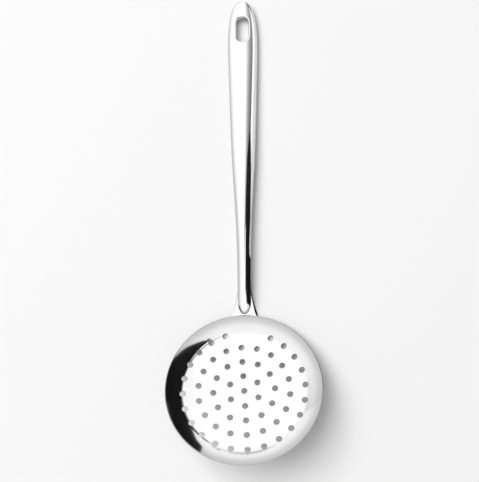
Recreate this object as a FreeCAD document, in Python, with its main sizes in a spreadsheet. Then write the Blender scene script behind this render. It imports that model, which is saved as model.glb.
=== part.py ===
import FreeCAD, Part
import os
from enum import IntEnum

import Sketcher

# A skimmer lying face up on a table, in millimetres. +Z is up and z = 0 is the table top.
# +Y runs along the handle to its hanging end, and +X is to the right when the dish is nearest.
# The origin is on the table, at the middle of the length and of the width.

os.makedirs("parts", exist_ok=True)
doc = FreeCAD.newDocument("Skimmer")
Vector = FreeCAD.Vector

# Driving dimensions, each written once. Angles are in degrees.
SIZES = [
    # the whole tool
    ("overall_length", 362.0, "from the far edge of the dish to the tip of the handle"),
    # the dish, a disc pressed from sheet
    ("dish_diameter", 116.0, "over the rim"),
    ("dish_gauge", 1.0, "thickness of the sheet"),
    ("dish_tilt", 23.0, "lean of the dish while the tool rests"),
    ("floor_radius", 300.0, "radius of the shallow domed floor"),
    ("wall_reach", 13.0, "from the rim's edge inwards to where the bend meets the floor"),
    ("bend_radius", 8.0, "inner radius of the bend between floor and wall"),
    ("wall_slope", 28.0, "slope of the flaring wall"),
    # the draining holes
    ("hole_diameter", 4.6, "of every hole"),
    ("first_ring", 11.7, "radius of the first ring of hole centres"),
    ("ring_margin", 12.7, "from the rim's edge inwards to the outer ring's hole centres"),
    ("ring_count", 4.0, "evenly spaced rings round the middle hole"),
    ("ring_step", 6.0, "holes that each ring has more than the last"),
    ("holes_left_out", 2.0, "of the outer ring, where the foot is welded behind"),
    ("pattern_turn", 4.3, "turn of the whole pattern about the middle hole"),
    # the foot, the flattened front of the handle, welded under the rim
    ("foot_gauge", 2.2, "thickness of the foot outside the dish"),
    ("seat_gauge", 1.2, "thickness of the foot under the lowest line of the dish"),
    ("foot_width", 20.0, "at the rim"),
    ("foot_reach", 13.0, "from the rim inwards, under the dish"),
    ("foot_corner", 6.0, "radius of its two hidden corners"),
    ("seat_share", 0.9, "share of the dish's sheet that its uncut top would reach into"),
    ("flare_length", 28.0, "from the rim to where the foot has run into the neck"),
    # the hollow handle
    ("skin_gauge", 1.0, "wall of the handle"),
    ("nose_length", 9.4, "rounded front of the tube, down to the foot"),
    ("heel_place", 9.8, "section where the nose begins, from the rim"),
    ("heel_width", 10.4, "its width"),
    ("heel_thick", 9.4, "its thickness"),
    ("heel_height", 6.3, "its middle over the table"),
    ("neck_place", 29.0, "narrowest section, from the rim"),
    ("neck_width", 10.2, "its width"),
    ("neck_thick", 9.7, "its thickness"),
    ("neck_height", 7.9, "its middle over the table"),
    ("shank_place", 57.0, "next section, from the rim"),
    ("shank_width", 11.2, "its width"),
    ("shank_thick", 9.8, "its thickness"),
    ("shank_height", 8.1, "its middle over the table"),
    ("waist_share", 0.205, "next section, as a share of the way from the shank to the palm"),
    ("waist_width", 14.3, "its width"),
    ("waist_thick", 9.7, "its thickness"),
    ("waist_height", 7.5, "its middle over the table"),
    ("grip_share", 0.411, "next section, as a share of the way from the shank to the palm"),
    ("grip_width", 18.2, "its width"),
    ("grip_thick", 9.4, "its thickness"),
    ("grip_height", 6.6, "its middle over the table"),
    ("swell_share", 0.725, "next section, as a share of the way from the shank to the palm"),
    ("swell_width", 21.6, "its width"),
    ("swell_thick", 9.1, "its thickness"),
    ("swell_height", 5.3, "its middle over the table"),
    ("palm_place", 42.0, "widest section, which lies on the table, from the tip"),
    ("palm_width", 24.0, "its width"),
    ("palm_thick", 8.8, "its thickness"),
    ("tip_power", 2.7, "roundness of the tip's outline, where 2 gives an ellipse"),
    ("tip_rise", 0.5, "middle of the tip over the middle of the palm"),
    ("tip_flat", 4.6, "width of the small flat end face"),
    # the ridge that leads the foot up into the neck
    ("ridge_thick", 5.5, "where it has run into the neck"),
    ("ridge_rise", 4.0, "of its underside over the table, at the same place"),
    ("ridge_inset", 0.3, "how far its sides lie within the neck's sides there"),
    # the hanging slot
    ("slot_width", 9.6, "between its straight sides"),
    ("slot_length", 21.3, "over its round ends"),
    ("slot_place", 24.7, "its middle, from the tip"),
    ("slot_round", 1.4, "rounding of its edges"),
]

sheet = doc.addObject("Spreadsheet::Sheet", "Sizes")
for row, (alias, value, meaning) in enumerate(SIZES, start=1):
    sheet.set(f"A{row}", meaning)
    sheet.set(f"B{row}", str(value))
    sheet.setAlias(f"B{row}", alias)
doc.recompute()


def size(alias):
    """The value that the sheet holds under this alias."""
    return float(sheet.get(alias))


# Places that follow from the sizes, as expressions on the sheet.
# The dish has its own frame: the origin in the middle of its inner floor and z along its axis.
FLOOR_EDGE = "(Sizes.dish_diameter / 2 - Sizes.wall_reach)"
BEND_R = f"({FLOOR_EDGE} * (1 - Sizes.bend_radius / Sizes.floor_radius))"
BEND_Z = (
    "(Sizes.floor_radius - (Sizes.floor_radius - Sizes.bend_radius)"
    f" * sqrt(1 - pow({FLOOR_EDGE} / Sizes.floor_radius; 2)))"
)
MID_BEND = "(Sizes.bend_radius + Sizes.dish_gauge / 2)"
RIM_R = "(Sizes.dish_diameter / 2 - Sizes.dish_gauge / 2)"
RIM_Z = (
    f"({BEND_Z} - {MID_BEND} * cos(Sizes.wall_slope)"
    f" + ({RIM_R} - {BEND_R} - {MID_BEND} * sin(Sizes.wall_slope)) * tan(Sizes.wall_slope))"
)
# Heights and places on the table. The lowest line of the leaning dish is on its outer bend.
DISH_LIFT = (
    f"(Sizes.seat_gauge + {BEND_R} * sin(Sizes.dish_tilt) - {BEND_Z} * cos(Sizes.dish_tilt)"
    " + Sizes.bend_radius + Sizes.dish_gauge)"
)
RIM_RUN = f"({RIM_R} * cos(Sizes.dish_tilt))"
RIM_LEAN = f"({RIM_Z} * sin(Sizes.dish_tilt))"
DISH_Y = f"({RIM_RUN} - {RIM_LEAN} + Sizes.dish_gauge / 2 - Sizes.overall_length / 2)"
NEAR_RIM_Y = f"({DISH_Y} + {RIM_RUN} + {RIM_LEAN} + Sizes.dish_gauge / 2)"
TIP_Y = "(Sizes.overall_length / 2)"


def evaluate(expression):
    """The plain number that an expression on the sheet gives."""
    return float(sheet.evalExpression(expression))


def bind(thing, bindings):
    """Tie properties of an object to expressions on the sheet."""
    for name, expression in bindings.items():
        thing.setExpression(name, expression)


def place(thing, x="0", y="0", z="0", turn="0"):
    """Tie an object's place on the table, and its turn about +X, to expressions."""
    spot = f"create(<<vector>>; {x}; {y}; {z})"
    spin = f"create(<<rotation>>; create(<<vector>>; 1; 0; 0); {turn})"
    thing.setExpression("Placement", f"create(<<placement>>; {spot}; {spin})")


def body_plane(body, role):
    """One of a body's own origin planes or axes, found by its role."""
    return next(item for item in body.Origin.OriginFeatures if item.Role == role)


def new_body(label):
    body = doc.addObject("PartDesign::Body", label)
    body.Label = label
    return body


def new_sketch(body, label, role):
    sketch = body.newObject("Sketcher::SketchObject", label)
    sketch.AttachmentSupport = [(body_plane(body, role), "")]
    sketch.MapMode = "FlatFace"
    return sketch


def dimension(sketch, name, expression, kind, *where):
    """Add a named constraint to a sketch, and tie it to an expression."""
    index = sketch.addConstraint(Sketcher.Constraint(kind, *where, evaluate(expression)))
    sketch.renameConstraint(index, name)
    sketch.setExpression(f"Constraints.{name}", expression)


class Spot(IntEnum):
    """The points of a sketched curve."""
    START = 1
    END = 2
    CENTRE = 3


class Own(IntEnum):
    """A sketch's own lines: its upright axis, and the level one, which starts at the origin."""
    UPRIGHT = -2
    LEVEL = -1


START, END, CENTRE = Spot.START, Spot.END, Spot.CENTRE
AXIS_Y, ORIGIN = Own.UPRIGHT, Own.LEVEL


def arc(centre, radius, first, last):
    """An arc of a circle in a sketch's plane, from one angle to another in degrees."""
    circle = Part.Circle(Vector(centre[0], centre[1], 0), Vector(0, 0, 1), radius)
    turn = FreeCAD.Units.Quantity("1 deg").getValueAs("rad").Value
    return Part.ArcOfCircle(circle, first * turn, last * turn)


def line(first, last):
    return Part.LineSegment(Vector(first[0], first[1], 0), Vector(last[0], last[1], 0))


def draw_dish_profile(sketch):
    """The section of the dish's sheet: domed floor, bend, flaring wall and round rim."""
    gauge = size("dish_gauge")
    bend = (evaluate(BEND_R), evaluate(BEND_Z))
    rim = (evaluate(RIM_R), evaluate(RIM_Z))
    dome = (0.0, size("floor_radius"))
    slope = size("wall_slope")
    start = evaluate(f"asin({FLOOR_EDGE} / Sizes.floor_radius)")
    across = Vector(evaluate("sin(Sizes.wall_slope)"), -evaluate("cos(Sizes.wall_slope)"), 0)

    def beside(point, distance):
        """A point moved at a right angle to the wall, away from the inside."""
        return (point[0] + across.x * distance, point[1] + across.y * distance)

    inner, outer = size("bend_radius"), size("bend_radius") + gauge
    floor_in = sketch.addGeometry(arc(dome, size("floor_radius"), -90, start - 90))
    bend_in = sketch.addGeometry(arc(bend, inner, start - 90, slope - 90))
    wall_in = sketch.addGeometry(line(beside(bend, inner), beside(rim, -gauge / 2)))
    rim_edge = sketch.addGeometry(arc(rim, gauge / 2, slope - 90, slope + 90))
    wall_out = sketch.addGeometry(line(beside(rim, gauge / 2), beside(bend, outer)))
    bend_out = sketch.addGeometry(arc(bend, outer, start - 90, slope - 90))
    floor_out = sketch.addGeometry(arc(dome, size("floor_radius") + gauge, -90, start - 90))
    middle = sketch.addGeometry(line((0, -gauge), (0, 0)))

    for constraint in [
        ("Coincident", floor_in, START, ORIGIN, START),
        ("PointOnObject", floor_in, CENTRE, AXIS_Y),
        ("Tangent", floor_in, END, bend_in, START),
        ("Tangent", bend_in, END, wall_in, START),
        ("Tangent", wall_in, END, rim_edge, END),
        ("Tangent", rim_edge, START, wall_out, START),
        ("Tangent", wall_out, END, bend_out, END),
        ("Tangent", bend_out, START, floor_out, END),
        ("Coincident", bend_out, CENTRE, bend_in, CENTRE),
        ("Coincident", floor_out, CENTRE, floor_in, CENTRE),
        ("Coincident", floor_out, START, middle, START),
        ("Coincident", middle, END, floor_in, START),
        ("Vertical", middle),
        ("Parallel", wall_in, wall_out),
    ]:
        sketch.addConstraint(Sketcher.Constraint(*constraint))
    dimension(sketch, "floor_radius", "Sizes.floor_radius", "Radius", floor_in)
    dimension(sketch, "floor_edge", FLOOR_EDGE, "DistanceX", ORIGIN, START, floor_in, END)
    dimension(sketch, "bend_radius", "Sizes.bend_radius", "Radius", bend_in)
    dimension(sketch, "gauge", "Sizes.dish_gauge", "DistanceY", middle, START, middle, END)
    dimension(sketch, "rim_radius", RIM_R, "DistanceX", ORIGIN, START, rim_edge, CENTRE)
    slope_index = sketch.addConstraint(
        Sketcher.Constraint("Angle", wall_in, FreeCAD.Units.Quantity(slope, "deg"))
    )
    sketch.renameConstraint(slope_index, "slope")
    sketch.setExpression("Constraints.slope", "Sizes.wall_slope * 1 deg")


# The dish, turned about its own axis
dish = new_body("strainer_dish")
dish_profile = new_sketch(dish, "dish_profile", "XZ_Plane")
draw_dish_profile(dish_profile)
doc.recompute()
pressing = dish.newObject("PartDesign::Revolution", "pressing")
pressing.Profile = dish_profile
pressing.ReferenceAxis = (dish_profile, ["V_Axis"])
pressing.Angle = 360
doc.recompute()


def ring_radius(number):
    """The radius of a ring of hole centres, from the first ring to the outer one."""
    if number == 0:
        return "0"
    first, outer = "Sizes.first_ring", "(Sizes.dish_diameter / 2 - Sizes.ring_margin)"
    return f"({first} + ({outer} - {first}) * {number - 1} / (Sizes.ring_count - 1))"


def drill_ring(number):
    """One ring of holes, or the middle hole for ring 0, square to the dish's axis."""
    sketch = new_sketch(dish, f"hole_{number}_place", "XY_Plane")
    radius = ring_radius(number)
    # the outer ring begins beside the holes that are left out on the handle's side
    outer = number == round(size("ring_count"))
    step = f"(360 / (Sizes.ring_step * {max(number, 1)}))"
    first = f"(90 + Sizes.pattern_turn + {step} * {int(outer)})"
    across, along = f"{radius} * cos({first})", f"{radius} * sin({first})"
    spot = Vector(evaluate(across), evaluate(along), 0)
    hole = sketch.addGeometry(Part.Circle(spot, Vector(0, 0, 1), size("hole_diameter") / 2))
    dimension(sketch, "hole_diameter", "Sizes.hole_diameter", "Diameter", hole)
    if number == 0:
        sketch.addConstraint(Sketcher.Constraint("Coincident", hole, CENTRE, ORIGIN, START))
    else:
        dimension(sketch, "across", across, "DistanceX", ORIGIN, START, hole, CENTRE)
        dimension(sketch, "along", along, "DistanceY", ORIGIN, START, hole, CENTRE)
    doc.recompute()
    hole_cut = dish.newObject("PartDesign::Pocket", f"hole_{number}")
    hole_cut.Profile = sketch
    hole_cut.Type = "ThroughAll"
    hole_cut.Midplane = True
    doc.recompute()
    if number == 0:
        return
    ring = dish.newObject("PartDesign::PolarPattern", f"ring_{number}")
    ring.Originals = [hole_cut]
    ring.Axis = (body_plane(dish, "Z_Axis"), [""])
    left_out = "Sizes.holes_left_out" if outer else "0"
    count = f"(Sizes.ring_step * {number} - {left_out})"
    ring.setExpression("Occurrences", count)
    ring.Angle = 360
    if outer:
        ring.setExpression("Angle", f"({count} - 1) * {step}")
    dish.Tip = ring
    doc.recompute()


for ring_number in range(round(size("ring_count")) + 1):
    drill_ring(ring_number)
place(dish, y=DISH_Y, z=DISH_LIFT, turn="0 - Sizes.dish_tilt")
doc.recompute()


def section(label, place_y, width, thick, height, inset="0"):
    """An elliptical section across the handle, tied to the sheet."""
    ellipse = doc.addObject("Part::Ellipse", label)
    bind(ellipse, {
        "MajorRadius": f"{width} / 2 - {inset}",
        "MinorRadius": f"{thick} / 2 - {inset}",
    })
    place(ellipse, y=place_y, z=height, turn="90")
    return ellipse


def loft(label, sections):
    solid = doc.addObject("Part::Loft", label)
    solid.Sections = sections
    solid.Solid = True
    return solid


def from_rim(alias):
    return f"({NEAR_RIM_Y} + Sizes.{alias})"


def from_tip(alias):
    return f"({TIP_Y} - Sizes.{alias})"


def between(alias):
    """A place that is a share of the way from the shank to the palm."""
    shank, palm = from_rim("shank_place"), from_tip("palm_place")
    return f"({shank} + ({palm} - {shank}) * Sizes.{alias})"


# The tip's outline and thickness follow one curve, from the small end face to the palm.
TIP_SHARES = [0.03, 0.1, 0.25, 0.5]
PALM_HEIGHT = "(Sizes.palm_thick / 2)"


def tip_section(number, share, inset="0"):
    """A section of the tip, at this share of the way from the end face to the palm."""
    swell = f"pow(1 - pow(1 - {share}; Sizes.tip_power); 1 / Sizes.tip_power)"
    height = f"({PALM_HEIGHT} + Sizes.tip_rise * pow(1 - {share}; 2))"
    return section(
        f"tip_section_{number}_{'skin' if inset == '0' else 'hollow'}",
        f"({TIP_Y} - Sizes.palm_place * {share})",
        f"(Sizes.palm_width * {swell})",
        f"(Sizes.palm_thick * {swell})",
        height,
        inset,
    )


def tube_sections(inset="0"):
    """The sections of the tube from the heel to the palm, of its skin or of its hollow."""
    kind = "skin" if inset == "0" else "hollow"
    stations = {
        "heel": from_rim("heel_place"),
        "neck": from_rim("neck_place"),
        "shank": from_rim("shank_place"),
        "waist": between("waist_share"),
        "grip": between("grip_share"),
        "swell": between("swell_share"),
        "palm": from_tip("palm_place"),
    }
    return [
        section(
            f"{name}_{kind}",
            station,
            f"Sizes.{name}_width",
            f"Sizes.{name}_thick",
            PALM_HEIGHT if name == "palm" else f"Sizes.{name}_height",
            inset,
        )
        for name, station in stations.items()
    ]


# The tube's outer skin
end_face = section(
    "end_face",
    TIP_Y,
    "Sizes.tip_flat",
    "(Sizes.tip_flat * Sizes.palm_thick / Sizes.palm_width)",
    f"({PALM_HEIGHT} + Sizes.tip_rise)",
)
tip_skin = [tip_section(number, share) for number, share in enumerate(TIP_SHARES)]
tube = loft("tube_skin", tube_sections() + tip_skin[::-1] + [end_face])

# The rounded nose, where the tube comes down to the foot. It is the front half of an ellipsoid.
nose = doc.addObject("Part::Ellipsoid", "nose")
nose.Angle3 = 180
bind(nose, {
    "Radius1": "Sizes.heel_thick / 2",
    "Radius2": "Sizes.heel_width / 2",
    "Radius3": "Sizes.nose_length",
})
nose_spot = f"create(<<vector>>; 0; {from_rim('heel_place')}; Sizes.heel_height)"
half_turn = "create(<<rotation>>; create(<<vector>>; 0; 0; 1); 180)"
nose.setExpression("Placement", f"create(<<placement>>; {nose_spot}; {half_turn})")

# The foot, flat under the rim and rising into the neck, as sections with round ends.
# A share of 0 is at the rim, and 1 at the back of the flare.
FLARE_SHARES = [1.0, 0.72, 0.45, 0.2, 0.0]


def draw_flat_section(sketch, width, thick):
    """Two straight sides joined by half circles, lying across the sketch's x axis."""
    half, radius = evaluate(f"({width} - {thick}) / 2"), evaluate(f"{thick} / 2")
    top = sketch.addGeometry(line((half, radius), (-half, radius)))
    left = sketch.addGeometry(arc((-half, 0), radius, 90, 270))
    bottom = sketch.addGeometry(line((-half, -radius), (half, -radius)))
    right = sketch.addGeometry(arc((half, 0), radius, -90, 90))
    for constraint in [
        ("Tangent", top, END, left, START),
        ("Tangent", left, END, bottom, START),
        ("Tangent", bottom, END, right, START),
        ("Tangent", right, END, top, START),
        ("Horizontal", top),
        ("Symmetric", left, CENTRE, right, CENTRE, ORIGIN, START),
    ]:
        sketch.addConstraint(Sketcher.Constraint(*constraint))
    dimension(sketch, "radius", f"{thick} / 2", "Radius", right)
    dimension(sketch, "between", f"{width} - {thick}", "DistanceX", left, CENTRE, right, CENTRE)


def flare_section(number, share):
    """A section of the foot, at this share of its flare."""
    sketch = doc.addObject("Sketcher::SketchObject", f"flare_section_{number}")
    back = "(Sizes.neck_width - 2 * Sizes.ridge_inset)"
    width = f"({back} + (Sizes.foot_width - {back}) * pow(1 - {share}; 2))"
    thick = f"(Sizes.foot_gauge + (Sizes.ridge_thick - Sizes.foot_gauge) * {share})"
    draw_flat_section(sketch, width, thick)
    rise = f"{thick} / 2 + Sizes.ridge_rise * pow({share}; 2)"
    place(sketch, y=f"{NEAR_RIM_Y} + Sizes.flare_length * {share}", z=rise, turn="90")
    return sketch


flare = loft("flare", [flare_section(number, share) for number, share in enumerate(FLARE_SHARES)])


def draw_tongue_outline(sketch, width, reach, corner):
    """A plate's outline from the sketch's x axis downwards, with its two far corners rounded."""
    half, long, round_off = evaluate(f"{width} / 2"), evaluate(reach), evaluate(corner)
    back = sketch.addGeometry(line((-half, 0), (half, 0)))
    right = sketch.addGeometry(line((half, 0), (half, round_off - long)))
    right_corner = sketch.addGeometry(arc((half - round_off, round_off - long), round_off, -90, 0))
    front = sketch.addGeometry(line((half - round_off, -long), (round_off - half, -long)))
    left_corner = sketch.addGeometry(arc((round_off - half, round_off - long), round_off, 180, 270))
    left = sketch.addGeometry(line((-half, round_off - long), (-half, 0)))
    for constraint in [
        ("Coincident", back, END, right, START),
        ("Tangent", right, END, right_corner, END),
        ("Tangent", right_corner, START, front, START),
        ("Tangent", front, END, left_corner, END),
        ("Tangent", left_corner, START, left, START),
        ("Coincident", left, END, back, START),
        ("Vertical", right),
        ("Vertical", left),
        ("Horizontal", front),
        ("Symmetric", back, START, back, END, ORIGIN, START),
    ]:
        sketch.addConstraint(Sketcher.Constraint(*constraint))
    dimension(sketch, "width", width, "DistanceX", back, START, back, END)
    dimension(sketch, "reach", reach, "DistanceY", front, START, ORIGIN, START)
    dimension(sketch, "corner", corner, "Radius", right_corner)


# The tongue, the foot's hidden front, whose top the dish's sheet cuts to its seat
tongue = new_body("tongue")
tongue_outline = new_sketch(tongue, "tongue_outline", "XY_Plane")
draw_tongue_outline(
    tongue_outline, "(Sizes.foot_width - Sizes.foot_gauge)", "Sizes.foot_reach", "Sizes.foot_corner"
)
tongue_plate = tongue.newObject("PartDesign::Pad", "tongue_plate")
tongue_plate.Profile = tongue_outline
tongue_plate.setExpression("Length", "Sizes.seat_gauge + Sizes.dish_gauge * Sizes.seat_share")
place(tongue, y=NEAR_RIM_Y)


# The hanging slot, and the sleeve of metal that is left round it inside the hollow
def slot_tool(label, margin):
    """An upright prism of the slot's outline, wider all round by the margin."""
    body = new_body(label)
    sketch = new_sketch(body, f"{label}_outline", "XY_Plane")
    width = f"(Sizes.slot_width + 2 * {margin})"
    length = f"(Sizes.slot_length + 2 * {margin})"
    draw_flat_section(sketch, length, width)
    pad = body.newObject("PartDesign::Pad", f"{label}_prism")
    pad.Profile = sketch
    pad.Midplane = True
    pad.setExpression("Length", "Sizes.palm_thick * 4")
    spot = f"create(<<vector>>; 0; {TIP_Y} - Sizes.slot_place; 0)"
    spin = "create(<<rotation>>; create(<<vector>>; 0; 0; 1); 90)"
    body.setExpression("Placement", f"create(<<placement>>; {spot}; {spin})")
    return body


slot = slot_tool("slot_opening", "0")
sleeve = slot_tool("slot_sleeve", "Sizes.skin_gauge")

# The hollow inside the tube, which leaves the skin and the sleeve. It ends short of the tip.
HOLLOW_SHARES = [0.25, 0.5]
tip_hollow = [
    tip_section(number, share, "Sizes.skin_gauge") for number, share in enumerate(HOLLOW_SHARES)
]
hollow_tube = loft("hollow_tube", tube_sections("Sizes.skin_gauge") + tip_hollow[::-1])
hollow = doc.addObject("Part::Cut", "hollow")
hollow.Base, hollow.Tool = hollow_tube, sleeve


# The handle in one piece: skin, slot with rounded edges, hollow, and the seat of the dish
outside = doc.addObject("Part::MultiFuse", "outside")
outside.Shapes = [tube, nose, flare, tongue]
slotted = doc.addObject("Part::Cut", "slotted")
slotted.Base, slotted.Tool = outside, slot
doc.recompute()

# How far an edge may lie past the slot's outline and still count as on it
TOUCH = 0.05


def slot_rims(shape):
    """The numbers of the edges where the slot's walls meet the handle's skin."""
    reach_x, reach_y = size("slot_width") / 2, size("slot_length") / 2
    middle_y = evaluate(f"{TIP_Y} - Sizes.slot_place")
    numbers = []
    for number, edge in enumerate(shape.Edges, start=1):
        box = edge.BoundBox
        across = max(abs(box.XMin), abs(box.XMax)) < reach_x + TOUCH
        along = max(abs(box.YMin - middle_y), abs(box.YMax - middle_y)) < reach_y + TOUCH
        flat = max(box.XLength, box.YLength) > box.ZLength
        if across and along and flat:
            numbers.append(number)
    return numbers


rounded = doc.addObject("Part::Fillet", "rounded")
rounded.Base = slotted
rounded.Edges = [
    (number, size("slot_round"), size("slot_round")) for number in slot_rims(slotted.Shape)
]
hollowed = doc.addObject("Part::Cut", "hollowed")
hollowed.Base, hollowed.Tool = rounded, hollow
handle = doc.addObject("Part::Cut", "handle")
handle.Label = "handle"
handle.Base, handle.Tool = hollowed, dish
doc.recompute()

# Every object has to be sound before anything is written.
for thing in doc.Objects:
    bad = [state for state in thing.State if state in ("Invalid", "Error")]
    if bad:
        raise RuntimeError(f"{thing.Label} did not recompute: {bad}")
for node in (dish, handle):
    if node.Shape.isNull() or not node.Shape.isValid():
        raise RuntimeError(f"{node.Label} has no sound shape")
    node.Shape.exportStep(f"parts/{node.Label}.step")
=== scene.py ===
"""A polished steel skimmer on a pale table, under soft studio light.

The dish is spun from its section and punched, and the handle is drawn out ring by ring,
slotted and smoothed. Sizes are in millimetres in the classes and in metres in the meshes.
"""

import logging
import math
from dataclasses import dataclass, field
from enum import Enum
from typing import Callable, Sequence

import bmesh
import bpy
from mathutils import Matrix, Vector

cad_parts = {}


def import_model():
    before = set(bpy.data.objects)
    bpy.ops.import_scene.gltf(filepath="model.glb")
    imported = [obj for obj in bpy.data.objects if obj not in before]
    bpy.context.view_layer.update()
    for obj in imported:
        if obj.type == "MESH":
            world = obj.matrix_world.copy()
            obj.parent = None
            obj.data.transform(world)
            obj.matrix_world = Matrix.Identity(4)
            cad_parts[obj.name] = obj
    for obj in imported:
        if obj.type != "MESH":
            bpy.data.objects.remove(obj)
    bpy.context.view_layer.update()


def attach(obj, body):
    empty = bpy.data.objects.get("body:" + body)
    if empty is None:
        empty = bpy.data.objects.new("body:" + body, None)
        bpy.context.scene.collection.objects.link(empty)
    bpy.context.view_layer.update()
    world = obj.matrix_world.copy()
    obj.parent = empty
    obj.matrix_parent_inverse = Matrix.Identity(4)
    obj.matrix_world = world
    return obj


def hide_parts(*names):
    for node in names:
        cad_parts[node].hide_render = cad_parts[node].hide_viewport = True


log = logging.getLogger("skimmer")
logging.basicConfig(level=logging.INFO, format="%(name)s: %(message)s")

MM = 0.001
# the mesh attribute with a place's distance from the dish's axis, as a share of its radius
FROM_AXIS = "from_axis"
# the mesh attribute that says how dark the painted shade along the handle's nose is, from 0 to 1
NOSE_SHADE = "nose_shade"
# the middle of the dish's inner floor while the skimmer rests
DISH_MIDDLE = (0.0, -131.074, 16.914)
# places closer than this, in millimetres, count as one
SAME_SPOT = 0.01
# edges that turn by more than this stay sharp
SHARP_ANGLE = math.radians(35)


class Node(Enum):
    """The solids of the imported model, by name."""

    DISH = "strainer_dish"
    HANDLE = "handle"


class Slot(Enum):
    """The record's material slots."""

    DISH = "dish_steel"
    HANDLE = "handle_steel"


def linear(code: str) -> tuple[float, float, float, float]:
    """Turn an sRGB hex colour into the linear values that a shader takes.

    Args:
        code: the colour as six hex digits, with or without a leading hash.

    Returns:
        Red, green, blue and an alpha of 1.
    """
    digits = code.lstrip("#")
    shares = [int(digits[place:place + 2], 16) / 255 for place in (0, 2, 4)]
    red, green, blue = (
        share / 12.92 if share <= 0.04045 else ((share + 0.055) / 1.055) ** 2.4 for share in shares
    )
    return red, green, blue, 1.0


def add_node(
    tree: bpy.types.NodeTree,
    kind: str,
    settings: dict | None = None,
    links: dict | None = None,
) -> bpy.types.Node:
    """Add a shader node with its settings and its incoming links.

    Args:
        tree: the node tree that takes the node.
        kind: the node's type.
        settings: values by attribute name, or by input name or number for a socket.
        links: output sockets by the input name or number that they feed.

    Returns:
        The new node.
    """
    node = tree.nodes.new(kind)
    for name, value in (settings or {}).items():
        if isinstance(name, int) or name in node.inputs:
            node.inputs[name].default_value = value
        else:
            setattr(node, name, value)
    for name, socket in (links or {}).items():
        tree.links.new(socket, node.inputs[name])
    return node


def new_material(name: str) -> tuple[bpy.types.Material, bpy.types.NodeTree, bpy.types.Node]:
    """Make an empty node material.

    Args:
        name: what the finish is in the trade's own words.

    Returns:
        The material, its node tree and its output node.
    """
    material = bpy.data.materials.new(name)
    material.use_nodes = True
    material.node_tree.nodes.clear()
    output = material.node_tree.nodes.new("ShaderNodeOutputMaterial")
    return material, material.node_tree, output


@dataclass(frozen=True)
class PolishedSteel:
    """Stainless steel, pressed, ground and polished to a mirror on a mop.

    The eye gets clear reflections of the room, very slightly hazed, with the faint drag
    of the polishing mop in them.
    """

    name: str
    tone: str = "#E6E6E7"
    wall_shade_tone: str = "#A2A2A3"
    roughness: float = 0.06
    haze: float = 0.035
    # The real mop lines are a few hundredths of a millimetre apart. They are drawn
    # coarser than that, because lines so fine would not show.
    mop_line: float = 0.7
    mop_stretch: float = 9.0
    mop_depth: float = 0.0006
    mop_strength: float = 0.35
    mop_detail: float = 3.0
    mop_fineness: float = 0.6
    # the haze comes and goes in clouds of this size, over this span of the noise
    cloud: float = 26.0
    cloud_span: tuple[float, float] = (0.3, 0.7)
    cloud_detail: float = 4.0
    # painted shade: the dark line along the handle's nose shows almost nothing of the room
    nose_shade_tone: str = "#262626"
    # places from the axis outwards, each with how much painted shade darkens the steel there
    wall_shading: tuple[tuple[float, float], ...] = ()

    def make(self) -> bpy.types.Material:
        """Build the node material.

        Returns:
            The new material.
        """
        material, tree, output = new_material(self.name)
        place = add_node(tree, "ShaderNodeTexCoord")
        drag = add_node(
            tree,
            "ShaderNodeMapping",
            {"Scale": (1.0, 1.0 / self.mop_stretch, 1.0)},
            {"Vector": place.outputs["Object"]},
        )
        lines = add_node(
            tree,
            "ShaderNodeTexNoise",
            {
                "Scale": 1.0 / (self.mop_line * MM),
                "Detail": self.mop_detail,
                "Roughness": self.mop_fineness,
            },
            {"Vector": drag.outputs["Vector"]},
        )
        clouds = add_node(
            tree,
            "ShaderNodeTexNoise",
            {"Scale": 1.0 / (self.cloud * MM), "Detail": self.cloud_detail},
            {"Vector": place.outputs["Object"]},
        )
        gloss = add_node(
            tree,
            "ShaderNodeMapRange",
            {
                "From Min": self.cloud_span[0],
                "From Max": self.cloud_span[1],
                "To Min": self.roughness,
                "To Max": self.roughness + self.haze,
            },
            {"Value": clouds.outputs["Fac"]},
        )
        relief = add_node(
            tree,
            "ShaderNodeBump",
            {"Strength": self.mop_strength, "Distance": self.mop_depth * MM},
            {"Height": lines.outputs["Fac"]},
        )
        # painted shade: the steel goes dark along the handle's nose
        nose_shade = add_node(tree, "ShaderNodeAttribute", {"attribute_name": NOSE_SHADE})
        colour = add_node(
            tree,
            "ShaderNodeMixRGB",
            {"Color1": linear(self.tone), "Color2": linear(self.nose_shade_tone)},
            {"Fac": nose_shade.outputs["Fac"]},
        )
        # painted shade: the dish's wall and rim are drawn darker outwards
        if self.wall_shading:
            tree.links.new(self.wall_shade_colour(tree), colour.inputs["Color1"])
        metal = add_node(
            tree,
            "ShaderNodeBsdfPrincipled",
            {"Metallic": 1.0},
            {
                "Base Color": colour.outputs["Color"],
                "Roughness": gloss.outputs["Result"],
                "Normal": relief.outputs["Normal"],
            },
        )
        tree.links.new(metal.outputs["BSDF"], output.inputs["Surface"])
        return material

    def wall_shade_colour(self, tree: bpy.types.NodeTree) -> bpy.types.NodeSocket:
        """The steel's colour, darkened outwards by painted shade on the wall and rim, as the
        listed steps say.

        Args:
            tree: the material's node tree.

        Returns:
            The socket that gives the colour.
        """
        place = add_node(tree, "ShaderNodeAttribute", {"attribute_name": FROM_AXIS})
        amount = add_node(tree, "ShaderNodeFloatCurve", links={"Value": place.outputs["Fac"]})
        curve = amount.mapping.curves[0]
        curve.points[0].location = (0.0, 0.0)
        curve.points[1].location = (1.0, self.wall_shading[-1][1])
        for spot in self.wall_shading:
            curve.points.new(*spot)
        for point in curve.points:
            point.handle_type = "VECTOR"
        amount.mapping.update()
        colour = add_node(
            tree,
            "ShaderNodeMixRGB",
            {"Color1": linear(self.tone), "Color2": linear(self.wall_shade_tone)},
            {"Fac": amount.outputs["Value"]},
        )
        return colour.outputs["Color"]


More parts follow.
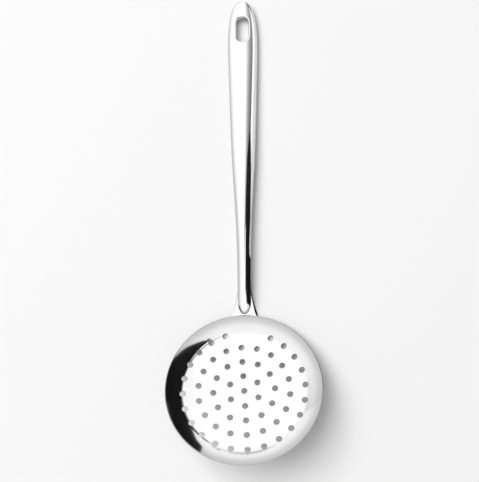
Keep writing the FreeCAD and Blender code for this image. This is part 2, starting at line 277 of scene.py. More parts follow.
# Painted shade: the dish's flaring wall is drawn a little darker than its floor, and the rim
# darker yet.
WALL_AND_RIM_SHADE = (
    (0.779, 0.0),
    (0.802, 0.18),
    (0.862, 0.24),
    (0.888, 0.33),
    (0.943, 0.68),
    (0.983, 0.82),
)


@dataclass(frozen=True)
class TablePaper:
    """Seamless white paper, matt as it leaves the mill.

    The eye gets an even pale ground that keeps the skimmer's soft shadows.
    """

    name: str = "seamless_white_paper"
    tone: str = "#F4F4F4"
    # the steel shows the paper close by, in the skimmer's own shade
    shade: str = "#D0D0D0"
    # Real fibres are finer. They are drawn about a millimetre apart, so that they show.
    fibres_per_metre: float = 900.0
    fibre_detail: float = 3.0
    fibre_depth: float = 0.00005
    fibre_strength: float = 0.05

    def make(self) -> bpy.types.Material:
        """Build the node material.

        Returns:
            The new material.
        """
        material, tree, output = new_material(self.name)
        place = add_node(tree, "ShaderNodeTexCoord")
        fibres = add_node(
            tree,
            "ShaderNodeTexNoise",
            {"Scale": self.fibres_per_metre, "Detail": self.fibre_detail},
            {"Vector": place.outputs["Object"]},
        )
        relief = add_node(
            tree,
            "ShaderNodeBump",
            {"Strength": self.fibre_strength, "Distance": self.fibre_depth},
            {"Height": fibres.outputs["Fac"]},
        )
        path = add_node(tree, "ShaderNodeLightPath")
        colour = add_node(
            tree,
            "ShaderNodeMixRGB",
            {"Color1": linear(self.tone), "Color2": linear(self.shade)},
            {"Fac": path.outputs["Is Glossy Ray"]},
        )
        paper = add_node(
            tree,
            "ShaderNodeBsdfDiffuse",
            links={"Color": colour.outputs["Color"], "Normal": relief.outputs["Normal"]},
        )
        tree.links.new(paper.outputs["BSDF"], output.inputs["Surface"])
        return material


@dataclass(frozen=True)
class CardGlow:
    """A studio card as the steel sees it: a plain light, grey or black board."""

    name: str
    tone: str
    strength: float

    def make(self) -> bpy.types.Material:
        """Build the node material.

        Returns:
            The new material.
        """
        material, tree, output = new_material(self.name)
        glow = add_node(
            tree, "ShaderNodeEmission", {"Color": linear(self.tone), "Strength": self.strength}
        )
        tree.links.new(glow.outputs["Emission"], output.inputs["Surface"])
        return material


@dataclass(frozen=True)
class FadingGlow:
    """A board that a lamp lights from one end, so that its glow falls off along it.

    The glow goes from the first to the last strength, while a place's share along the
    direction goes from start to end in millimetres.
    """

    name: str
    direction: tuple[float, float, float]
    start: float
    end: float
    first: float
    last: float

    def make(self) -> bpy.types.Material:
        """Build the node material.

        Returns:
            The new material.
        """
        material, tree, output = new_material(self.name)
        place = add_node(tree, "ShaderNodeTexCoord")
        along = add_node(
            tree,
            "ShaderNodeVectorMath",
            {"operation": "DOT_PRODUCT", 1: self.direction},
            {0: place.outputs["Object"]},
        )
        fade = add_node(
            tree,
            "ShaderNodeMapRange",
            {
                "From Min": self.start * MM,
                "From Max": self.end * MM,
                "To Min": self.first,
                "To Max": self.last,
            },
            {"Value": along.outputs["Value"]},
        )
        glow = add_node(
            tree,
            "ShaderNodeEmission",
            {"Color": linear("#FFFFFF")},
            {"Strength": fade.outputs["Result"]},
        )
        tree.links.new(glow.outputs["Emission"], output.inputs["Surface"])
        return material


def select_none() -> None:
    """Leave edit mode and deselect every object."""
    if bpy.context.mode != "OBJECT":
        bpy.ops.object.mode_set(mode="OBJECT")
    bpy.ops.object.select_all(action="DESELECT")


def take(piece: bpy.types.Object) -> None:
    """Make a piece the only selected object, and the active one.

    Args:
        piece: the object to take.
    """
    select_none()
    piece.select_set(True)
    bpy.context.view_layer.objects.active = piece


def settle(piece: bpy.types.Object) -> None:
    """Move a piece's place into its mesh, so that its object sits at the origin.

    Args:
        piece: the object to settle.
    """
    take(piece)
    bpy.ops.object.transform_apply(location=True, rotation=True, scale=True)


def pick(piece: bpy.types.Object, test: Callable[[Vector], bool]) -> None:
    """Select, in edit mode, the vertices whose place passes a test.

    Args:
        piece: the mesh that is being edited.
        test: takes a place in metres and says whether it is wanted.
    """
    bpy.ops.mesh.select_all(action="DESELECT")
    shape = bmesh.from_edit_mesh(piece.data)
    for vertex in shape.verts:
        if test(vertex.co):
            vertex.select_set(True)
    shape.select_flush_mode()
    bmesh.update_edit_mesh(piece.data)


def carve(piece: bpy.types.Object, tool: bpy.types.Object, operation: str) -> None:
    """Join or cut a piece with a tool by a boolean, and remove the tool.

    Args:
        piece: the object that stays.
        tool: the object that is used up.
        operation: the boolean's operation, "UNION" or "DIFFERENCE".
    """
    take(piece)
    step = piece.modifiers.new("carve", "BOOLEAN")
    step.operation = operation
    step.solver = "EXACT"
    step.object = tool
    bpy.ops.object.modifier_apply(modifier=step.name)
    bpy.data.objects.remove(tool, do_unlink=True)


def smooth_line(places: Sequence[float], values: Sequence[float], place: float) -> float:
    """A smooth curve through values at rising places, with no overshoot.

    Args:
        places: the places that the values belong to, rising.
        values: one value for each place.
        place: where the curve is read.

    Returns:
        The curve's value there.
    """
    last = len(places) - 1
    slopes = []
    for spot in range(last + 1):
        before, after = max(spot - 1, 0), min(spot + 1, last)
        slopes.append((values[after] - values[before]) / (places[after] - places[before]))
    span = next((spot for spot in range(last) if place <= places[spot + 1]), last - 1)
    run = places[span + 1] - places[span]
    share = min(max((place - places[span]) / run, 0.0), 1.0)
    square, cube = share * share, share**3
    return (
        (2 * cube - 3 * square + 1) * values[span]
        + (cube - 2 * square + share) * run * slopes[span]
        + (3 * square - 2 * cube) * values[span + 1]
        + (cube - square) * run * slopes[span + 1]
    )


@dataclass
class StrainerDish:
    """The dish: a shallow disc pressed from sheet, punched, with a flared rim.

    It is made upright about its own axis, with the middle of its inner floor at the
    origin, and then leans on the handle's foot.
    """

    diameter: float = 116.0
    gauge: float = 1.0
    tilt: float = 23.0
    floor_radius: float = 300.0
    wall_reach: float = 13.0
    bend_radius: float = 8.0
    wall_slope: float = 28.0
    hole: float = 4.6
    first_ring: float = 11.7
    ring_margin: float = 12.7
    rings: int = 4
    ring_step: int = 6
    left_out: int = 2
    pattern_turn: float = 4.3
    middle: tuple[float, float, float] = DISH_MIDDLE
    spokes: int = 180
    # parts of the section's arcs: inner floor, inner bend, rim, outer bend, outer floor
    arc_steps: tuple[int, ...] = (24, 12, 8, 10, 16)
    hole_corners: int = 48
    finish: PolishedSteel = field(
        default_factory=lambda: PolishedSteel("polished_stainless_dish", wall_shading=WALL_AND_RIM_SHADE)
    )

    def arc(
        self, centre: tuple[float, float], radius: float, first: float, last: float, steps: int
    ) -> list[tuple[float, float]]:
        """Points on an arc of the section.

        Args:
            centre: the arc's centre, as radius and height.
            radius: the arc's radius.
            first: the angle that it starts at, in degrees.
            last: the angle that it ends at, in degrees.
            steps: how many parts it is divided into.

        Returns:
            The points, both ends among them.
        """
        angles = [math.radians(first + (last - first) * step / steps) for step in range(steps + 1)]
        return [
            (centre[0] + radius * math.cos(angle), centre[1] + radius * math.sin(angle))
            for angle in angles
        ]

    def section(self) -> list[tuple[float, float]]:
        """The closed section of the sheet, from the axis round to the axis.

        Returns:
            The section's points, as radius and height.
        """
        edge = self.diameter / 2 - self.wall_reach
        lean = math.degrees(math.asin(edge / self.floor_radius))
        bend = (
            edge * (1 - self.bend_radius / self.floor_radius),
            self.floor_radius
            - (self.floor_radius - self.bend_radius)
            * math.sqrt(1 - (edge / self.floor_radius) ** 2),
        )
        slope = math.radians(self.wall_slope)
        mid_bend = self.bend_radius + self.gauge / 2
        rim_r = self.diameter / 2 - self.gauge / 2
        rim = (
            rim_r,
            bend[1]
            - mid_bend * math.cos(slope)
            + (rim_r - bend[0] - mid_bend * math.sin(slope)) * math.tan(slope),
        )
        dome = (0.0, self.floor_radius)
        outer = self.bend_radius + self.gauge
        turn = self.wall_slope - 90
        floor, inner_bend, edge_round, outer_bend, back = self.arc_steps
        points = self.arc(dome, self.floor_radius, -90, lean - 90, floor)
        points += self.arc(bend, self.bend_radius, lean - 90, turn, inner_bend)[1:]
        points += self.arc(rim, self.gauge / 2, self.wall_slope + 90, turn, edge_round)
        points += self.arc(bend, outer, turn, lean - 90, outer_bend)
        points += self.arc(dome, self.floor_radius + self.gauge, lean - 90, -90, back)[1:]
        return points

    def spin_sheet(self) -> bpy.types.Object:
        """Draw the section point by point and spin it round the axis.

        Returns:
            The sheet, not yet punched.
        """
        section = self.section()
        select_none()
        bpy.ops.mesh.primitive_plane_add(size=MM)
        piece = bpy.context.active_object
        piece.name = piece.data.name = "dish_sheet"
        bpy.ops.object.mode_set(mode="EDIT")
        bpy.ops.mesh.select_all(action="SELECT")
        bpy.ops.mesh.merge(type="CENTER")
        bpy.ops.transform.translate(value=(section[0][0] * MM, 0.0, section[0][1] * MM))
        for before, after in zip(section, section[1:]):
            step = ((after[0] - before[0]) * MM, 0.0, (after[1] - before[1]) * MM)
            bpy.ops.mesh.extrude_region_move(TRANSFORM_OT_translate={"value": step})
        bpy.ops.mesh.select_all(action="SELECT")
        bpy.ops.mesh.spin(
            steps=self.spokes, angle=math.tau, center=(0.0, 0.0, 0.0), axis=(0.0, 0.0, 1.0)
        )
        bpy.ops.mesh.select_all(action="SELECT")
        bpy.ops.mesh.remove_doubles(threshold=SAME_SPOT * MM)
        bpy.ops.mesh.normals_make_consistent(inside=False)
        bpy.ops.object.mode_set(mode="OBJECT")
        return piece

    def hole_places(self) -> list[tuple[float, float]]:
        """Where the holes are, in rings round the middle one.

        Returns:
            The holes' middles, across and along, in millimetres.
        """
        places = [(0.0, 0.0)]
        outer = self.diameter / 2 - self.ring_margin
        for ring in range(1, self.rings + 1):
            radius = self.first_ring + (outer - self.first_ring) * (ring - 1) / (self.rings - 1)
            count = self.ring_step * ring
            # the outer ring leaves out the holes over the handle's foot
            first = 1 if ring == self.rings else 0
            drilled = count - self.left_out if ring == self.rings else count
            for number in range(first, first + drilled):
                angle = math.radians(90 + self.pattern_turn + 360 * number / count)
                places.append((radius * math.cos(angle), radius * math.sin(angle)))
        return places

    def punch(self, piece: bpy.types.Object) -> None:
        """Cut the draining holes, all in one go.

        Args:
            piece: the sheet.
        """
        select_none()
        spots = self.hole_places()
        sizes = {
            "vertices": self.hole_corners,
            "radius": self.hole / 2 * MM,
            "depth": self.diameter / 3 * MM,
        }
        bpy.ops.mesh.primitive_cylinder_add(location=(0.0, 0.0, 0.0), **sizes)
        punches = bpy.context.active_object
        bpy.ops.object.mode_set(mode="EDIT")
        for across, along in spots[1:]:
            bpy.ops.mesh.select_all(action="DESELECT")
            bpy.ops.mesh.primitive_cylinder_add(location=(across * MM, along * MM, 0.0), **sizes)
        bpy.ops.object.mode_set(mode="OBJECT")
        carve(piece, punches, "DIFFERENCE")

    def mark_radius(self, piece: bpy.types.Object) -> None:
        """Keep each point's distance from the axis, for the painted shade on the wall and rim.

        Args:
            piece: the punched sheet, still upright about its own axis.
        """
        marks = piece.data.attributes.new(FROM_AXIS, "FLOAT", "POINT")
        for vertex, mark in zip(piece.data.vertices, marks.data):
            mark.value = math.hypot(vertex.co.x, vertex.co.y) / (self.diameter / 2 * MM)

    def build(self) -> bpy.types.Object:
        """Make the dish and lean it on its place.

        Returns:
            The finished dish.
        """
        piece = self.spin_sheet()
        self.punch(piece)
        self.mark_radius(piece)
        take(piece)
        bpy.ops.object.shade_smooth_by_angle(angle=SHARP_ANGLE)
        piece.rotation_euler = (-math.radians(self.tilt), 0.0, 0.0)
        piece.location = Vector(self.middle) * MM
        settle(piece)
        self.dress(piece)
        return piece

    def dress(self, piece: bpy.types.Object) -> None:
        """Give the dish its finish, and let it stand for its solid.

        Args:
            piece: the dish.
        """
        piece.data.materials.clear()
        piece.data.materials.append(self.finish.make())
        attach(piece, "root")
        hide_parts(Node.DISH.value)


@dataclass(frozen=True)
class Station:
    """One section across the handle: its place, width, thickness and middle height."""

    place: float
    width: float
    thick: float
    height: float


@dataclass
class Handle:
    """The hollow handle: a swelling tube with a rounded nose over a flat, flared foot."""

    stations: tuple[Station, ...] = (
        Station(-64.34, 10.4, 9.4, 6.3),
        Station(-45.14, 10.2, 9.7, 7.9),
        Station(-17.14, 11.2, 9.8, 8.1),
        Station(14.86, 14.3, 9.7, 7.5),
        Station(47.0, 18.2, 9.4, 6.6),
        Station(96.0, 21.6, 9.1, 5.3),
        Station(139.0, 24.0, 8.8, 4.4),
    )
    tip: float = 181.0
    tip_power: float = 2.7
    tip_rise: float = 0.5
    tip_flat: float = 4.6
    nose_length: float = 9.4
    # where the nose's rings are, as angles on its ellipsoid
    nose_angles: tuple[int, ...] = (80, 66, 50, 33, 16)
    # The painted shade along the nose's crease starts behind the heel, above a height, on the skin
    # that is steep enough, and fades over the ramps. It is darkest on the left and never below the
    # least.
    nose_shade_start: float = 2.0
    nose_shade_onset: float = 1.5
    nose_shade_low: float = 4.0
    nose_shade_steep: float = 0.85
    nose_shade_ramp: float = 0.3
    nose_shade_middle: float = 0.7
    nose_shade_slant: float = 0.11
    nose_shade_least: float = 0.35
    rim_place: float = -74.14
    foot_width: float = 20.0
    foot_gauge: float = 2.2
    seat_gauge: float = 1.2
    foot_reach: float = 13.0
    flare_length: float = 28.0
    ridge_thick: float = 5.5
    ridge_rise: float = 4.0
    ridge_width: float = 9.6
    # the hidden front of the foot: shares of its reach, each with a share of its width
    foot_front: tuple[tuple[float, float], ...] = (
        (1.0, 0.45),
        (0.93, 0.68),
        (0.7, 0.9),
        (0.35, 0.99),
    )
    seat_share: float = 0.85
    flare_shares: tuple[float, ...] = (0.0, 0.1, 0.2, 0.35, 0.5, 0.7, 0.85, 1.0)
    slot_width: float = 9.6
    slot_length: float = 21.3
    slot_middle: float = 156.3
    slot_round: float = 1.4
    slot_corners: int = 74
    # angles on the quarter circle of the slot's mouth, and how far the flare runs on
    mouth_angles: tuple[int, ...] = (0, 20, 40, 60, 78)
    mouth_overrun: float = 3.0
    tube_steps: int = 24
    tip_shares: tuple[float, ...] = (
        0.84, 0.68, 0.53, 0.4, 0.28, 0.18, 0.1, 0.045, 0.015, 0.003,
    )
    sides: int = 12
    levels: int = 3
    finish: PolishedSteel = field(
        default_factory=lambda: PolishedSteel("polished_stainless_handle")
    )

    @property
    def swell(self) -> float:
        """How much larger a ring is made, because smoothing draws its corners in.

        Returns:
            The factor on the ring's size.
        """
        return 3 / (2 + math.cos(math.tau / self.sides))

    def along(self, place: float) -> Station:
        """The smooth handle's section at a place, from the heel to the tip.

        Args:
            place: where along the handle, in millimetres.

        Returns:
            The section there.
        """
        palm = self.stations[-1]
        if place > palm.place:
            share = (self.tip - place) / (self.tip - palm.place)
            swell = (1 - (1 - share) ** self.tip_power) ** (1 / self.tip_power)
            return Station(
                place,
                max(palm.width * swell, self.tip_flat),
                max(palm.thick * swell, self.tip_flat * palm.thick / palm.width),
                palm.height + self.tip_rise * (1 - share) ** 2,
            )
        places = [station.place for station in self.stations]
        width, thick, height = (
            smooth_line(places, [getattr(station, name) for station in self.stations], place)
            for name in ("width", "thick", "height")
        )
        return Station(place, width, thick, height)

    def nose_rings(self) -> list[Station]:
        """The rings of the rounded nose, from its front to the heel.

        Returns:
            One section for each angle of the nose.
        """
        heel = self.stations[0]
        rings = []
        for degrees in self.nose_angles:
            angle = math.radians(degrees)
            rings.append(
                Station(
                    heel.place - self.nose_length * math.sin(angle),
                    heel.width * math.cos(angle),
                    heel.thick * math.cos(angle),
                    heel.height,
                )
            )
        return rings

    def tube_places(self) -> list[float]:
        """The places of the tube's rings, closer together towards the tip.

        Returns:
            The places along the handle, in millimetres.
        """
        start, palm, steps = self.stations[0].place, self.stations[-1].place, self.tube_steps
        places = [start + (palm - start) * step / steps for step in range(steps + 1)]
        return places + [self.tip - (self.tip - palm) * share for share in self.tip_shares]

    def draw_rings(self, name: str, rings: Sequence[Station]) -> bpy.types.Object:
        """Draw out a closed tube, ring by ring.

        Args:
            name: the piece's name.
            rings: the sections, in order along the handle.

        Returns:
            The coarse tube, closed at both ends.
        """
        first = rings[0]
        select_none()
        bpy.ops.mesh.primitive_circle_add(
            vertices=self.sides,
            radius=self.swell * MM / 2,
            location=(0.0, first.place * MM, first.height * MM),
            rotation=(math.pi / 2, 0.0, 0.0),
        )
        piece = bpy.context.active_object
        piece.name = piece.data.name = name
        settle(piece)
        bpy.ops.object.mode_set(mode="EDIT")
        bpy.ops.mesh.select_all(action="SELECT")
        bpy.ops.transform.resize(
            value=(first.width, 1.0, first.thick),
            center_override=(0.0, first.place * MM, first.height * MM),
        )
        bpy.ops.mesh.edge_face_add()
        for before, after in zip(rings, rings[1:]):
            step = (0.0, (after.place - before.place) * MM, (after.height - before.height) * MM)
            bpy.ops.mesh.extrude_region_move(TRANSFORM_OT_translate={"value": step})
            bpy.ops.transform.resize(
                value=(after.width / before.width, 1.0, after.thick / before.thick),
                center_override=(0.0, after.place * MM, after.height * MM),
            )
        bpy.ops.mesh.select_all(action="SELECT")
        bpy.ops.mesh.normals_make_consistent(inside=False)
        return piece

    def skin_height(self, spot: Vector) -> float:
        """How high the skin's upper face is above its middle, over a place.

        Args:
            spot: the place, in metres.

        Returns:
            The height in millimetres.
        """
        here = self.along(spot.y / MM)
        return here.thick / 2 * math.sqrt(max(1 - (2 * spot.x / MM / here.width) ** 2, 0.0))

    def slot_cutter(self) -> bpy.types.Object:
        """The tool of the hanging slot: its round-ended outline, drawn through the palm.

        Towards each mouth it widens along a quarter of a circle that follows the skin,
        which leaves the soft edges of the real one.

        Returns:
            The cutting tool.
        """
        middle, straight = self.slot_middle, (self.slot_length - self.slot_width) / 2
        # how far each ring is outside the outline, and how deep it is under the skin
        mouth = [
            (
                self.slot_round * (1 - math.cos(math.radians(angle))),
                self.slot_round * (1 - math.sin(math.radians(angle))),
            )
            for angle in self.mouth_angles
        ]
        # past the skin the flare runs on in its last direction, up to a level lid
        climb = self.mouth_overrun * math.tan(math.radians(90 - self.mouth_angles[-1]))
        mouth.append((mouth[-1][0] + self.mouth_overrun, mouth[-1][1] - climb))
        mouth.append(mouth[-1])
        rings = [(*ring, -1) for ring in reversed(mouth)] + [(*ring, 1) for ring in mouth]
        lid = self.along(middle).thick
        select_none()
        bpy.ops.mesh.primitive_circle_add(
            vertices=self.slot_corners,
            radius=self.slot_width / 2 * MM,
            location=(0.0, middle * MM, 0.0),
            fill_type="NGON",
        )
        tool = bpy.context.active_object
        settle(tool)
        bpy.ops.object.mode_set(mode="EDIT")
        for side in (1, -1):
            pick(tool, lambda spot: (spot.y / MM - middle) * side > SAME_SPOT)
            bpy.ops.transform.translate(value=(0.0, side * straight * MM, 0.0))
        bpy.ops.mesh.select_all(action="SELECT")
        for _ in rings[1:]:
            bpy.ops.mesh.extrude_region_move(TRANSFORM_OT_translate={"value": (0.0, 0.0, MM)})
        bpy.ops.mesh.select_all(action="SELECT")
        bpy.ops.mesh.normals_make_consistent(inside=False)
        bpy.ops.object.mode_set(mode="OBJECT")
        for vertex in tool.data.vertices:
            number = round(vertex.co.z / MM)
            widen, depth, side = rings[number]
            beyond = vertex.co.y / MM - middle
            centre = Vector((0.0, (middle + math.copysign(straight, beyond)) * MM, 0.0))
            spoke = Vector((vertex.co.x, vertex.co.y, 0.0)) - centre
            spot = centre + spoke.normalized() * (self.slot_width / 2 + widen) * MM
            outermost = number in (0, len(rings) - 1)
            rise = lid if outermost else self.skin_height(spot) - depth
            spot.z = (self.along(spot.y / MM).height + side * rise) * MM
            vertex.co = spot
        return tool

    def mark_nose_shade(self, piece: bpy.types.Object) -> None:
        """Mark the painted shade, a dark line along the foot of the nose, deepest on its left.

        Args:
            piece: the joined handle.
        """
        start = self.stations[0].place - self.nose_shade_start
        marks = piece.data.attributes.new(NOSE_SHADE, "FLOAT", "POINT")
        for vertex, mark in zip(piece.data.vertices, marks.data):
            across, along, height = vertex.co / MM
            if along < start and height > self.nose_shade_low:
                steep = (self.nose_shade_steep - vertex.normal.z) / self.nose_shade_ramp
                steep = min(1.0, max(0.0, steep))
                begun = min(1.0, (start - along) / self.nose_shade_onset)
                side = self.nose_shade_middle - self.nose_shade_slant * across
                side = min(1.0, max(self.nose_shade_least, side))
                mark.value = steep * begun * side

    def build(self) -> bpy.types.Object:
        """Make the handle: tube, slot, foot, all smoothed and joined.

        Returns:
            The finished handle.
        """
        rings = self.nose_rings() + [self.along(place) for place in self.tube_places()]
        piece = self.draw_rings("handle_tube", rings)
        self.smooth(piece)
        carve(piece, self.slot_cutter(), "DIFFERENCE")
        foot = self.draw_rings("handle_foot", self.foot_rings())
        self.smooth(foot)
        carve(piece, foot, "UNION")
        # paint the shade of the nose's crease onto the skin
        self.mark_nose_shade(piece)
        take(piece)
        bpy.ops.object.shade_smooth_by_angle(angle=SHARP_ANGLE)
        self.dress(piece)
        return piece

    def foot_rings(self) -> list[Station]:
        """The rings of the foot, from its hidden front to where it meets the neck.

        Returns:
            The foot's sections, in order.
        """
        rings = []
        reach, slim = self.foot_reach, self.foot_gauge - self.seat_gauge
        for share, narrow in self.foot_front:
            thick = self.foot_gauge - slim * min(share / self.seat_share, 1.0)
            rings.append(
                Station(self.rim_place - reach * share, self.foot_width * narrow, thick, thick / 2)
            )
        for share in self.flare_shares:
            thick = self.foot_gauge + (self.ridge_thick - self.foot_gauge) * share
            width = self.ridge_width + (self.foot_width - self.ridge_width) * (1 - share) ** 2
            rings.append(
                Station(
                    self.rim_place + self.flare_length * share,
                    width,
                    thick,
                    thick / 2 + self.ridge_rise * share**2,
                )
            )
        return rings

    def smooth(self, piece: bpy.types.Object) -> None:
        """Smooth a coarse piece by subdivision, applied.

        Args:
            piece: the coarse piece.
        """
        take(piece)
        step = piece.modifiers.new("smooth", "SUBSURF")
        step.levels = step.render_levels = self.levels
        bpy.ops.object.modifier_apply(modifier=step.name)

    def dress(self, piece: bpy.types.Object) -> None:
        """Give the handle its finish, and let it stand for its solid.

        Args:
            piece: the handle.
        """
        piece.data.materials.clear()
        piece.data.materials.append(self.finish.make())
        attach(piece, "root")
        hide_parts(Node.HANDLE.value)


Span = tuple[float, float]


@dataclass(frozen=True)
class Card:
    """A flat card in the room: what the steel sees of it, and its corners in millimetres."""

    name: str
    finish: CardGlow | FadingGlow
    corners: tuple[tuple[float, float, float], ...]

    @classmethod
    def beside(
        cls, name: str, finish: CardGlow | FadingGlow, across: float, along: Span, height: Span
    ) -> "Card":
        """An upright rectangle beside the skimmer.

        Args:
            name: the card's name.
            finish: what the steel sees.
            across: where it stands, to the right of the handle's line.
            along: where it starts and ends, along the handle.
            height: its lower and upper edge.

        Returns:
            The card.
        """
        (near, far), (low, high) = along, height
        rows = ((near, low), (far, low), (far, high), (near, high))
        return cls(name, finish, tuple((across, place, rise) for place, rise in rows))

    @classmethod
    def behind(
        cls, name: str, finish: CardGlow | FadingGlow, across: Span, along: float, height: Span
    ) -> "Card":
        """An upright rectangle beyond the handle's tip.

        Args:
            name: the card's name.
            finish: what the steel sees.
            across: its left and right edge.
            along: where it stands, along the handle.
            height: its lower and upper edge.

        Returns:
            The card.
        """
        (left, right), (low, high) = across, height
        rows = ((left, low), (right, low), (right, high), (left, high))
        return cls(name, finish, tuple((place, along, rise) for place, rise in rows))

    @classmethod
    def overhead(
        cls, name: str, finish: CardGlow | FadingGlow, across: Span, along: Span, height: float
    ) -> "Card":
        """A level rectangle over the skimmer.

        Args:
            name: the card's name.
            finish: what the steel sees.
            across: its left and right edge.
            along: its near and far edge.
            height: how high it hangs.

        Returns:
            The card.
        """
        (left, right), (near, far) = across, along
        rows = ((left, near), (right, near), (right, far), (left, far))
        return cls(name, finish, tuple((place, reach, height) for place, reach in rows))


@dataclass(frozen=True)
class SoftLamp:
    """A soft square lamp: its place and side in metres, and its power in watts."""

    name: str
    place: tuple[float, float, float]
    side: float
    power: float


@dataclass
class Studio:
    """The table, the cards and the lamp round it, and the camera over it.

    The steel is a mirror, so what it shows is the room. Each card stands where the
    photograph has a dark or bright patch in the steel.
    """

    floor_size: float = 3.0
    # how bright the white room is as light on matt things
    room_light: float = 0.34
    key: SoftLamp = SoftLamp("key_softbox", (-1.85, 1.1, 4.1), 3.6, 199.0)
    velvet: CardGlow = CardGlow("black_velvet", "#1A1A1A", 1.0)
    cloth: CardGlow = CardGlow("softbox_cloth", "#FFFFFF", 1.28)
    # the near flag stands at this distance to the right, with its outline upright
    near: float = 148.0
    near_outline: tuple[Span, ...] = (
        (-88, 0), (-88, 430), (-60, 378), (-20, 338), (62, 303), (78, 362), (150, 450),
        (207, 467), (190, 390), (184, 310), (170, 225), (100, 130), (50, 50), (22, 0),
    )
    # painted shade: a flat black sheet lies on the table between the near flag's foot and the
    # dish, for the table's shade that the handle's neck shows
    table_shade_corners: tuple[tuple[float, float, float], ...] = (
        (9, -70, 0.5), (148, -88, 0.5), (148, 0, 0.5), (9, -30, 0.5),
    )
    # the far flag's slanted lower corner is the pointed end of the crescent in the dish
    far_corners: tuple[tuple[float, float, float], ...] = (
        (1176, 964, 185), (371, 1426, 185), (347, 1440, 230), (327, 1451, 276),
        (303, 1465, 340), (303, 1465, 800), (1176, 964, 800),
    )
    # how high the ceiling's cloth hangs, and where the left and the back cloth stand
    ceiling: float = 1250.0
    left_side: float = -1400.0
    back_side: float = 1500.0
    # where the back softbox ends and the low board goes on behind the far flag
    back_corner: float = 460.0
    dish_middle: tuple[float, float, float] = DISH_MIDDLE
    scale: float = 0.7395
    focal: float = 800.0
    picture: tuple[float, float] = (479.0, 482.0)
    sensor: float = 36.0
    clip_start: float = 0.01
    lean: float = 9.2
    roll: float = -3.9
    yaw: float = -0.98
    offset: tuple[float, float] = (4.75, -150.0)

    def lay_table(self) -> None:
        """Lay the paper under the skimmer."""
        select_none()
        bpy.ops.mesh.primitive_plane_add(size=self.floor_size)
        table = bpy.context.active_object
        table.name = "paper_table"
        table.data.materials.append(TablePaper().make())

    def stand_card(self, card: Card) -> None:
        """Stand a flat card in the room that only reflections show.

        Args:
            card: its name, finish and corners.
        """
        select_none()
        bpy.ops.mesh.primitive_circle_add(
            vertices=len(card.corners), radius=1.0, fill_type="NGON"
        )
        board = bpy.context.active_object
        board.name = card.name
        for vertex, corner in zip(board.data.vertices, card.corners):
            vertex.co = Vector(corner) * MM
        board.data.materials.append(card.finish.make())
        board.visible_camera = False
        board.visible_diffuse = False
        board.visible_shadow = False
        board.visible_transmission = False

    def right_cards(self) -> list[Card]:
        """The black flags, the black sheet of painted shade on the table and the boards that the
        steel shows on its right.

        Returns:
            The cards.
        """
        fading = FadingGlow(
            "grey_board_lit_from_above",
            direction=(0.0, 1.0, 1.0),
            start=400.0,
            end=1500.0,
            first=0.16,
            last=1.18,
        )
        low = CardGlow("white_board", "#FFFFFF", strength=0.86)
        outline = tuple((self.near, along, rise) for along, rise in self.near_outline)
        return [
            Card("near_flag", self.velvet, outline),
            # painted shade on the table beside the handle's neck
            Card("table_shade_sheet", self.velvet, self.table_shade_corners),
            Card("far_flag", self.velvet, self.far_corners),
            Card.beside("fading_board", fading, across=150, along=(68, 1200), height=(205, 1240)),
            Card.beside("low_strip", low, across=46, along=(45, 330), height=(0, 32)),
        ]

    def left_cards(self) -> list[Card]:
        """The softboxes that make the steel white on its left, behind and on top.

        Returns:
            The cards.
        """
        fading = FadingGlow(
            "softbox_lit_from_above",
            direction=(0.0, 0.0, 1.0),
            start=0.0,
            end=self.ceiling,
            first=0.77,
            last=1.3,
        )
        cloth, back, corner = self.cloth, self.back_side, self.back_corner
        full = (0, self.ceiling)
        return [
            Card.overhead("ceiling_softbox", cloth, (-1500, 1500), (-1500, 2600), self.ceiling),
            Card.beside("left_softbox", fading, self.left_side, (-900, back), full),
            Card.behind("back_strip", cloth, across=(-500, 330), along=420, height=(0, 60)),
            Card.behind("back_softbox", cloth, (self.left_side, corner), back, full),
            Card.behind("back_board", cloth, (corner, 1300), back, height=(0, 300)),
        ]

    def hang_lamp(self, lamp: SoftLamp) -> None:
        """Hang a lamp that looks at the skimmer's middle.

        Args:
            lamp: its name, place, side and power.
        """
        light = bpy.data.lights.new(lamp.name, "AREA")
        light.shape = "SQUARE"
        light.size = lamp.side
        light.energy = lamp.power
        holder = bpy.data.objects.new(lamp.name, light)
        holder.location = lamp.place
        holder.rotation_euler = Vector(lamp.place).to_track_quat("Z", "Y").to_euler()
        holder.visible_glossy = False
        bpy.context.scene.collection.objects.link(holder)

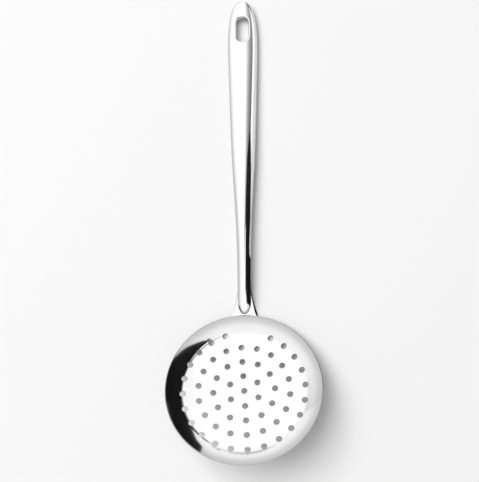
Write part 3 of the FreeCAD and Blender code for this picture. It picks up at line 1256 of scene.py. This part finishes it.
    def light_room(self) -> None:
        """Make the room white: full for the camera and in the steel, softer as light."""
        world = bpy.data.worlds.new("white_room")
        world.use_nodes = True
        tree = world.node_tree
        tree.nodes.clear()
        path = add_node(tree, "ShaderNodeLightPath")
        seen = add_node(
            tree,
            "ShaderNodeMath",
            {"operation": "MAXIMUM"},
            {0: path.outputs["Is Camera Ray"], 1: path.outputs["Is Glossy Ray"]},
        )
        clear = add_node(
            tree,
            "ShaderNodeMath",
            {"operation": "MAXIMUM"},
            {0: seen.outputs[0], 1: path.outputs["Is Transmission Ray"]},
        )
        level = add_node(
            tree,
            "ShaderNodeMapRange",
            {"To Min": self.room_light, "To Max": 1.0},
            {"Value": clear.outputs[0]},
        )
        room = add_node(
            tree,
            "ShaderNodeBackground",
            {"Color": linear("#FFFFFF")},
            {"Strength": level.outputs["Result"]},
        )
        output = add_node(tree, "ShaderNodeOutputWorld")
        tree.links.new(room.outputs["Background"], output.inputs["Surface"])
        bpy.context.scene.world = world

    def set_camera(self) -> None:
        """Set the camera up over the skimmer, as the photograph was taken."""
        lean, roll, yaw = (math.radians(turn) for turn in (self.lean, self.roll, self.yaw))
        tip = Matrix.Rotation(-lean, 3, "X")
        side = Matrix.Rotation(roll, 3, "Y")
        view = side @ tip
        around = Matrix.Rotation(yaw, 3, "Z")
        distance = self.focal * self.scale
        shift = Vector((-self.offset[0] * self.scale, -self.offset[1] * self.scale, distance))
        turn = around @ view.transposed()
        place = Vector(self.dish_middle) + around @ (view.transposed() @ shift)
        camera = bpy.data.cameras.new("camera")
        camera.sensor_width = self.sensor
        camera.lens = camera.sensor_width * self.focal / max(self.picture)
        camera.clip_start = self.clip_start
        holder = bpy.data.objects.new("camera", camera)
        holder.matrix_world = Matrix.Translation(place * MM) @ turn.to_4x4()
        bpy.context.scene.collection.objects.link(holder)
        bpy.context.scene.camera = holder

    def build(self) -> None:
        """Set up the camera, the table, the room, the lamp and the cards."""
        self.set_camera()
        self.lay_table()
        self.light_room()
        self.hang_lamp(self.key)
        for card in self.right_cards() + self.left_cards():
            self.stand_card(card)
        scene = bpy.context.scene
        scene.view_settings.view_transform = "Standard"


def main() -> None:
    """Build the skimmer and its studio."""
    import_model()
    Studio().build()
    log.info("studio set up")
    dish = StrainerDish().build()
    log.info("%s: %d faces", dish.name, len(dish.data.polygons))
    handle = Handle().build()
    log.info("%s: %d faces", handle.name, len(handle.data.polygons))


if __name__ == "__main__":
    main()
